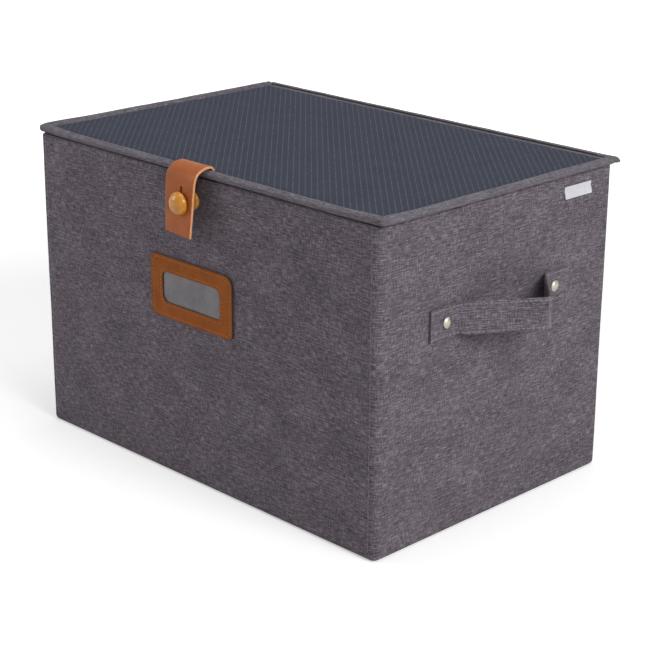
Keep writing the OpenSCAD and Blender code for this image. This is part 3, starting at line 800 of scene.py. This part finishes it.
# The strap's middle layer, as distances in millimetres in front of the wall and above the body's top
STRAP_ROUTE = [
    (-7.0, 6.0), (-5.8, 7.8), (-3.05, 9.0), (2.8, 8.5), (9.6, 5.1), (12.4, -0.8), (13.5, -9.25),
    (14.2, -18.5), (16.2, -44.0)
]
STRAP_HOLE_R = 4.1 * MM
SLIT_W, SLIT_H = 2.8 * MM, 9 * MM
STRAP_TWIST = 2.2 * MM      # the hanging end's right edge comes forward by this, and its left edge goes back


def smooth_route(route, steps):
    """A smooth curve through all points of a route."""
    points = np.array(route, float)
    padded = np.vstack([points[:1], points, points[-1:]])
    u = (np.arange(steps) / steps)[:, None]
    pieces = [
        0.5 * (2 * q + (r - p) * u + (2 * p - 5 * q + 4 * r - s) * u ** 2 + (3 * q - p - 3 * r + s) * u ** 3)
        for p, q, r, s in zip(padded, padded[1:], padded[2:], padded[3:])
    ]
    return np.vstack([*pieces, points[-1:]])


def cut_away(target, cutter):
    """Cuts one mesh object out of another, and takes the cutter away."""
    modifier = target.modifiers.new("cut", "BOOLEAN")
    modifier.operation, modifier.object, modifier.solver = "DIFFERENCE", cutter, "EXACT"
    depsgraph = bpy.context.evaluated_depsgraph_get()
    cut = bpy.data.meshes.new_from_object(target.evaluated_get(depsgraph))
    target.modifiers.clear()
    target.data = cut
    bpy.data.objects.remove(cutter)


def closure_strap():
    route = smooth_route(STRAP_ROUTE, 6) * MM
    half = (strap_high.x - strap_low.x) / 2
    centre_x = (strap_low.x + strap_high.x) / 2
    path = grid_of(centre_x, front_y - route[:, 0], top_z + route[:, 1])
    along = lengths(path)
    across = np.array([1.0, 0.0, 0.0])
    outward = unit(np.cross(unit(np.gradient(path, axis=0)), across))
    section = rounded_loop(2 * half, STRAP_T, [STRAP_EDGE_R] * 4, 3, (17, 1))
    lean = STRAP_TWIST * (along[:, None] / along[-1]) ** 2 * section[:, 0] / half
    rings = path[:, None] + section[:, :1] * across + (section[:, 1] + lean)[..., None] * outward[:, None]
    strap = rings_object("closure_strap_leather", rings, [strap_leather, strap_edge])
    knob, reach = (knob_low + knob_high) / 2, 40 * MM
    hole, place = [(STRAP_HOLE_R, 0), (STRAP_HOLE_R, reach)], (knob.x, front_y, knob.z)
    cut_away(strap, lathe("strap_hole", hole, place, (0, -1, 0), None, 32))
    slit_x = knob.x + SLIT_W * np.array([-0.5, 0.5, 0.5, -0.5])
    slit_z = knob.z + (STRAP_HOLE_R + SLIT_H) * np.array([0, 0, 1, 1])
    slit = grid_of(slit_x, np.array([[front_y], [front_y - reach]]), slit_z)
    cut_away(strap, rings_object("strap_slit", slit, []))

    # The cut sides and end are paler than the faces
    second_material(strap, lambda face: (
        abs(face.center.x - centre_x) > half - 0.35 * MM
        or (face.normal.z < -0.7 and face.center.z < strap_low.z + 3 * MM)
    ))
    strap.data.shade_smooth()
    strap.data.set_sharp_from_angle(angle=math.radians(40))
    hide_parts("closure_strap")
    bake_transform(strap)


def turned_knob():
    """A bead on the wall, a thin neck through the strap and a flattened ball in front."""
    head_r = (knob_high.x - knob_low.x) / 2
    base_r, base_depth, neck_r = 7.5 * MM, 7 * MM, 3.3 * MM
    front_depth, back_depth = 6.8 * MM, 1.5 * MM
    head_out = front_y - knob_low.y - front_depth
    foot_angle = math.degrees(math.acos(neck_r / base_r))
    head_angle = math.degrees(math.acos(neck_r / head_r))
    profile = [(base_r * 0.3, 0.0), (base_r * 0.55, 0.0)]
    profile += arc(0, base_depth / 2, base_r, base_depth / 2, -48, foot_angle, 18)
    profile += arc(0, head_out, head_r, back_depth, -head_angle, 0, 8)
    profile += arc(0, head_out, head_r, front_depth, 0, 84, 20)[1:]
    middle = (knob_low + knob_high) / 2
    place = (middle.x, front_y, middle.z)
    made = lathe("turned_knob", profile, place, (0, -1, 0), knob_wood, 64, sharp=50)
    belongs(made, "knob_wood", "box", "knob")


# ---- Label window ----

LABEL_CORNERS = (9 * MM, 5.5 * MM, 7 * MM, 4.5 * MM)    # from the upper right corner, anticlockwise
WINDOW_CORNERS = (6 * MM, 5 * MM, 6.5 * MM, 4 * MM)
FILM_LAP = 6 * MM - 0.3 * MM


def label_frame():
    """The leather frame: dark painted edges, and two rows of stitches pressed into its face."""
    size, window = label_high - label_low, film_high - film_low
    window_h = window.z - 2 * FILM_LAP
    centre = (label_low + label_high) / 2
    outer = rounded_loop(size.x, size.z, LABEL_CORNERS, 10, (26, 12))
    inner = rounded_loop(window.x - 2 * FILM_LAP, window_h, WINDOW_CORNERS, 10, (26, 12))
    border = (size.z - window_h) / 2

    def ring(inset, out):
        x, z = (outer + inset / border * (inner - outer)).T
        return grid_of(centre.x + x, front_y - out, centre.z + z)

    near, far = stitch_rows = (2.4 * MM, border - 2.2 * MM)
    edge = 0.4 * MM
    turn = np.radians((0, 20, 40, 60, 90))
    edge_in, edge_out = edge * (1 - np.cos(turn)), LABEL_T - edge * (1 - np.sin(turn))
    face_in = np.concatenate([
        [1.2 * edge, near - 0.8 * MM], near + np.array([-0.4, 0, 0.4, 0.8]) * MM,
        np.linspace(near + 1.4 * MM, far - 1.4 * MM, 5), far + np.array([-0.8, -0.4, 0, 0.4]) * MM
    ])
    face_out = LABEL_T - sum(groove(face_in - row, 0.3 * MM, 0.55 * MM) for row in stitch_rows)
    insets = [0.0, *edge_in, *face_in, *(border - edge_in[::-1]), border]
    outs = [0.0, *edge_out, *face_out, *edge_out[::-1], 0.0]
    rings = np.array([ring(inset, out) for inset, out in zip(insets, outs)])
    raised = front_y - rings[..., 1] > 0.7 * LABEL_T
    rings[..., 1] -= np.where(raised, 0.18 * MM * wave_at(rings, 26 * MM, 2.0), 0)
    rows, columns = rings.shape[:2]
    faces = grid_faces(rows, columns, wrap_rows=True, wrap_columns=True)
    made = build("label_frame_leather", rings, faces, [label_leather, label_edge])
    second_material(made, lambda face: 0 <= min(face.index // columns, rows - 2 - face.index // columns) < 3)
    belongs(made, "label_leather", "box", "label_frame")

    places = []
    for inset in stitch_rows:
        loop = ring(inset, LABEL_T - 0.2 * MM)
        places += stitch_row(np.vstack([loop, loop[:1]]), (0, -1, 0), 2.1 * MM, 1.4 * MM)
    belongs(stitches("label_stitches", places, tan_thread, 0.28 * MM), "label_leather", "box")


def label_film():
    """The clear film behind the frame, with a few shallow waves."""
    x = spaced(film_low.x, film_high.x, 2 * MM)
    z = spaced(film_low.z, film_high.z, 2 * MM)
    grid = grid_of(x, film_low.y, z[:, None])
    slanted = grid * np.array([0.5, 1, 1.6]) + grid[..., ::-1] * np.array([0.5, 0, 0])
    grid[..., 1] -= 0.12 * MM * (1 + wave_at(slanted, 14 * MM, 3.0))
    made = cloth("label_film_sheet", grid, x, z, 0.2 * MM, window_film)
    belongs(made, "label_film", "box", "label_film")


# ---- Handles ----

RIVET_HEAD_R = 4.6 * MM
LIFT_OFF = (11.5 * MM, 18.5 * MM)           # behind the front rivet: at the strap's lower and upper edge
LIFT_RISE = (3 * MM, 4.5 * MM)              # the short steep part after the lift-off: along and out
TOUCH_DOWN = 10 * MM
BEND_Y, BEND_OUT = 9.5 * MM, 42.5 * MM
BEND_HIGHLIGHT = 2.5 * MM                        # painted highlight: the outer bend's cloth is paler this far each way, where the bend catches the light
HANDLE_CUTS = (2 * MM, 2 * MM, 5 * MM, 4 * MM)    # how far each bend reaches, from its middle
HANDLE_ROWS = 74
HANDLE_EDGE_R = 1.1 * MM
HANDLE_STITCH_IN = 1.8 * MM


def rivet_places():
    """The places of an end's two rivets along Y."""
    head_r = (rivets_high.z - rivets_low.z) / 2
    return rivets_low.y + head_r, rivets_high.y - head_r


def handle_path(lift_off):
    """The right handle's middle layer: (along Y, out from the wall)."""
    on_wall = HANDLE_T / 2
    front_rivet, back_rivet = rivet_places()
    lift = front_rivet + lift_off
    corners = np.array([
        (handle_low.y, on_wall), (lift, on_wall), (lift + LIFT_RISE[0], on_wall + LIFT_RISE[1]),
        (BEND_Y, BEND_OUT), (back_rivet - TOUCH_DOWN, on_wall), (handle_high.y, on_wall)
    ])
    u = np.linspace(0, 1, 13)[:, None]
    bends = [
        (1 - u) ** 2 * (q + cut * unit(p - q)) + 2 * u * (1 - u) * q + u * u * (q + cut * unit(r - q))
        for p, q, r, cut in zip(corners, corners[1:], corners[2:], HANDLE_CUTS)
    ]
    path = np.vstack([corners[:1], *bends, corners[-1:]])
    along = lengths(path)
    return at_places(np.linspace(0, along[-1], HANDLE_ROWS), along, path)


def handle_section():
    """The folded strap's section: hems along both edges, pressed in along the stitches."""
    width = handle_high.z - handle_low.z
    section = rounded_loop(width, HANDLE_T, [HANDLE_EDGE_R] * 4, 3, (22, 1))
    from_edge = width / 2 - np.abs(section[:, 0])
    thin = groove(from_edge - HANDLE_STITCH_IN, 0.32 * MM, 0.7 * MM)
    thin = thin + 0.28 * MM * np.clip((from_edge - 5 * MM) / (3 * MM), 0, 1)
    section[:, 1] -= np.sign(section[:, 1]) * thin
    return section


def end_handle(side):
    """One end's handle; side is 1 on the right end and -1 on the left one."""
    section = handle_section()
    width, middle_z = handle_high.z - handle_low.z, (handle_low.z + handle_high.z) / 2
    lower, upper = (handle_path(lift_off) for lift_off in LIFT_OFF)
    share = section[:, :1] / width + 0.5
    layer = lower[:, None] * (1 - share) + upper[:, None] * share
    path = (lower + upper) / 2
    along = lengths(path)
    ahead = unit(np.gradient(layer, axis=0))
    outward = grid_of(-ahead[..., 1], ahead[..., 0])
    plan = layer + section[:, 1:] * outward
    rings = grid_of(side_x + plan[..., 1], plan[..., 0], middle_z + section[:, 0])
    loose = np.clip((path[:, 1] - HANDLE_T) / (6 * MM), 0, 1)[:, None]
    rings[..., 0] += 0.5 * MM * loose * wave_at(rings * np.array([1, 1, 0.6]), 24 * MM, 6.0 + side)
    weave = grid_of(along[:, None] + 3.0 * side, section[:, 0] + 15 + 0.08 * np.sign(section[:, 1]), 0.0)
    rings = rings * np.array([side, 1, 1])
    name = "right" if side > 0 else "left"
    made = rings_object(f"{name}_handle_strap", rings[:, ::side], [body_cloth, bend_highlight_cloth], weave[:, ::side])
    # The faces round the outer bend get the paler cloth: a painted highlight
    highlit_rows = np.abs(along - along[np.argmax(path[:, 1])]) < BEND_HIGHLIGHT
    second_material(made, lambda face: highlit_rows[min(face.index // len(section), HANDLE_ROWS - 1)])
    belongs(made, "body_cloth", "box", f"{name}_handle")

    places = []
    mean_out = outward.mean(axis=1)
    for edge in (-1, 1):
        for face in (-1, 1):
            seen = path[:, 1] > (2.5 * HANDLE_T if face < 0 else 0)
            seat = (edge * (width / 2 - HANDLE_STITCH_IN), face * HANDLE_T / 2)
            near = np.argmin(np.hypot(*(section - seat).T))
            normal = grid_of(side * mean_out[seen, 1], mean_out[seen, 0], 0.0) * face
            places += stitch_row(rings[seen, near], normal, 2.9 * MM, 1.0 * MM)
    belongs(stitches(f"{name}_handle_stitches", places, grey_thread, 0.4 * MM), "body_cloth", "box")


def rivet_heads():
    """Low domed heads with a thin rim, through the handles' ends."""
    centre_z = (rivets_low.z + rivets_high.z) / 2
    height = rivets_high.x - side_x - HANDLE_T
    rim = 0.5 * MM
    profile = [(1.6 * MM, -WALL_T - 1.2 * MM), (1.6 * MM, HANDLE_T), (RIVET_HEAD_R - 0.3 * MM, HANDLE_T)]
    profile += arc(RIVET_HEAD_R - rim, HANDLE_T + rim, rim, rim, -60, 60, 6)
    profile += arc(0, HANDLE_T + rim, RIVET_HEAD_R - 1.4 * rim, height - rim, 20, 86, 12)
    places = [(side, y) for side in (1, -1) for y in rivet_places()]
    for number, (side, y) in enumerate(places, 1):
        centre = (side * side_x, y, centre_z)
        made = lathe(f"handle_rivet_{number}", profile, centre, (side, 0, 0), rivet_metal, 40)
        belongs(made, "rivet_metal", "box", "handle_rivets")


def blank_tag():
    """A blank woven tag: its top is sewn flat, and below a crease it stands off the wall a little."""
    low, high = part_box("side_tag")
    fold_z = high.z - 3.4 * MM
    z = np.concatenate([spaced(low.z, fold_z, 0.8 * MM), spaced(high.z - 3.0 * MM, high.z, 0.8 * MM)])
    y = spaced(low.y, high.y, 1.5 * MM)
    out = 0.7 * MM + 1.5 * MM * np.clip((fold_z - z) / (fold_z - low.z), 0, 1)
    crease = groove(z - high.z + 3.3 * MM, 0.35 * MM, 0.5 * MM)
    grid = ripple(grid_of(side_x + (out - crease)[:, None], y, z[:, None]), 12 * MM, 0.1 * MM, seed=4.0)
    belongs(cloth("side_tag_tape", grid, y, z, 0.6 * MM, tag_cloth), "tag_cloth", "box", "side_tag")


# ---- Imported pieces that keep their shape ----

def dress(nodes, material):
    for node in (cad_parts[name] for name in nodes):
        if node.material_slots:
            for place in node.material_slots:
                place.material = material
        else:
            node.data.materials.append(material)


dress([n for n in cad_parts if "board" in n], board_fibre)
dress(["knob_screw", "knob_washer"], screw_steel)
dress(["rivet_rings"], rivet_metal)


# ---- The object ----

# facing is -1 where a wall is the half turned copy of the one across; own_place is its part of the cloth
for wall in (
    ("front", front_plan, "front_board", 1, 0), ("back", front_plan, "back_board", -1, 10),
    ("right", end_plan, "right_board_front", 1, 5), ("left", end_plan, "left_board_front", -1, 15)
):
    body_wall(*wall)
corner_stitches()
bottom_cloth()
for lining in (("front", 1, 0), ("back", -1, 3), ("right", 1, 6), ("left", -1, 9)):
    lining_wall(*lining)
base_board_cloth()
lid_border()
back_border()
lid_panel_cloth()
lid_lining_cloth()
hinge_strip()
closure_strap()
turned_knob()
label_frame()
label_film()
end_handle(1)
end_handle(-1)
rivet_heads()
blank_tag()


# ---- Floor, light and camera ----

WHITE = (1.0, 1.0, 1.0, 1.0)
FLOOR_HALF = 12.0
LAMP_TARGET = (0, 0, 0.12)
floor_z = foot_z - 0.2 * MM


def shown_rays(tree):
    """1 for what the camera sees, directly or as a reflection, and 0 for the light on the object."""
    rays = add(tree, "LightPath").outputs
    return calc(tree, "MAXIMUM", rays["Is Camera Ray"], rays["Is Glossy Ray"])


def white_floor():
    """A pale floor that keeps the object's shadow and shows white where nothing shades it."""
    material, tree = new_material("floor")
    matt = add(tree, "BsdfDiffuse", {"Color": (0.8, 0.8, 0.8, 1.0)}).outputs[0]
    place = add(tree, "NewGeometry").outputs["Position"]
    distance = add(tree, "VectorMath", {0: place}, operation="LENGTH").outputs["Value"]
    strength = ranged(tree, distance, 0.5, 1.4, 0.42, 1.0, interpolation_type="SMOOTHSTEP")
    glow = add(tree, "Emission", {"Color": WHITE, "Strength": strength}).outputs[0]
    both = add(tree, "AddShader", {0: matt, 1: glow}).outputs[0]
    picked = add(tree, "MixShader", {0: shown_rays(tree), 1: matt, 2: both}).outputs[0]
    add(tree, "OutputMaterial", {"Surface": picked})
    corners = [(x * FLOOR_HALF, y * FLOOR_HALF, floor_z) for x, y in ((-1, -1), (1, -1), (1, 1), (-1, 1))]
    build("floor", corners, [(0, 1, 2, 3)], [material])


def soft_lamp(name, power, size, place):
    data = bpy.data.lights.new(name, "AREA")
    data.energy, data.shape, data.size = power, "DISK", size
    lamp = bpy.data.objects.new(name, data)
    lamp.location = place
    aim = Vector(LAMP_TARGET) - Vector(place)
    lamp.rotation_euler = aim.to_track_quat("-Z", "Y").to_euler()
    bpy.context.scene.collection.objects.link(lamp)


def studio_world(ambient):
    world = bpy.data.worlds.new("studio")
    world.use_nodes = True
    tree = world.node_tree
    tree.nodes.clear()
    strength = ranged(tree, shown_rays(tree), 0.0, 1.0, ambient, 1.0)
    glow = add(tree, "Background", {"Color": WHITE, "Strength": strength})
    add(tree, "OutputWorld", {"Surface": glow.outputs[0]})
    bpy.context.scene.world = world


CAMERA_AZIMUTH, CAMERA_ELEVATION, CAMERA_ROLL = 45.155, 19.559, -0.371
CAMERA_PLACE = (1.0270, -1.0061, 0.6126)
CAMERA_LENS = 97.2


def photo_camera():
    data = bpy.data.cameras.new("camera")
    data.sensor_width, data.lens = 36.0, CAMERA_LENS
    data.clip_start, data.clip_end = 0.05, 60
    turns = ((CAMERA_AZIMUTH, "Z"), (90 - CAMERA_ELEVATION, "X"), (-CAMERA_ROLL, "Z"))
    azimuth, tilt, roll = (Matrix.Rotation(math.radians(angle), 4, axis) for angle, axis in turns)
    camera = bpy.data.objects.new("camera", data)
    camera.matrix_world = Matrix.Translation(CAMERA_PLACE) @ azimuth @ tilt @ roll
    bpy.context.scene.collection.objects.link(camera)
    bpy.context.scene.camera = camera


white_floor()
studio_world(0.2)
soft_lamp("key", 30, 1.2, (1.9, -0.2, 1.3))
soft_lamp("top", 15, 1.6, (0.1, 0.2, 2.1))
soft_lamp("fill", 5.2, 0.6, (-0.95, -0.95, 0.75))
photo_camera()

bpy.context.scene.view_settings.view_transform = "Standard"
